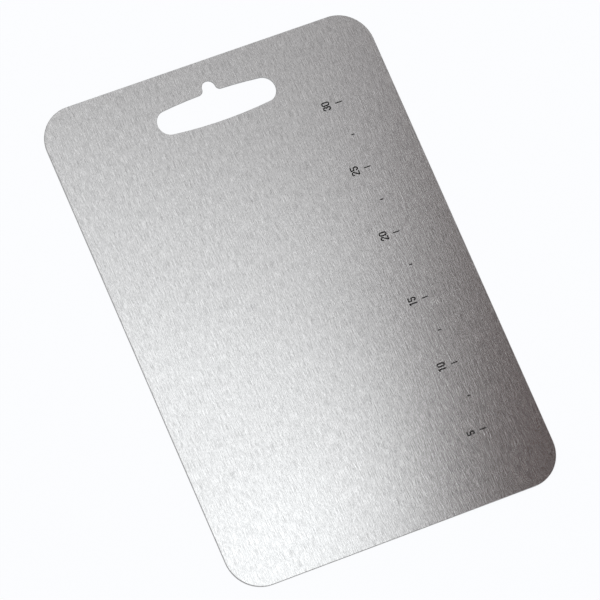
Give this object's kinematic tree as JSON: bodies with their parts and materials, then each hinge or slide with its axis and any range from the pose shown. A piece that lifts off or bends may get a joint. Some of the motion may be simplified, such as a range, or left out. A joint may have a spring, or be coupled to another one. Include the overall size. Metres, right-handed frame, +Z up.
{
  "type": "cutting board",
  "caption": "Flat brushed stainless steel cutting board with rounded corners, a bowed finger slot with a hanging notch, and a printed centimetre scale beside one long edge.",
  "frame": {"origin": "middle of the underside, on the surface that the board lies on", "axes": "+X across the board towards the printed scale, +Y along it towards the finger slot, +Z up out of the printed face"},
  "size_m": [0.25, 0.36, 0.0021],
  "materials": {
    "brushed_sheet": "satin, brushed along the board's length",
    "scale_ink": "matt black baked ink"
  },
  "bodies": {
    "root": {"steel_sheet": "brushed_sheet", "long_ticks": "scale_ink", "short_ticks": "scale_ink", "numeral_5": "scale_ink", "numeral_10": "scale_ink", "numeral_15": "scale_ink", "numeral_20": "scale_ink", "numeral_25": "scale_ink", "numeral_30": "scale_ink"}
  },
  "joints": []
}
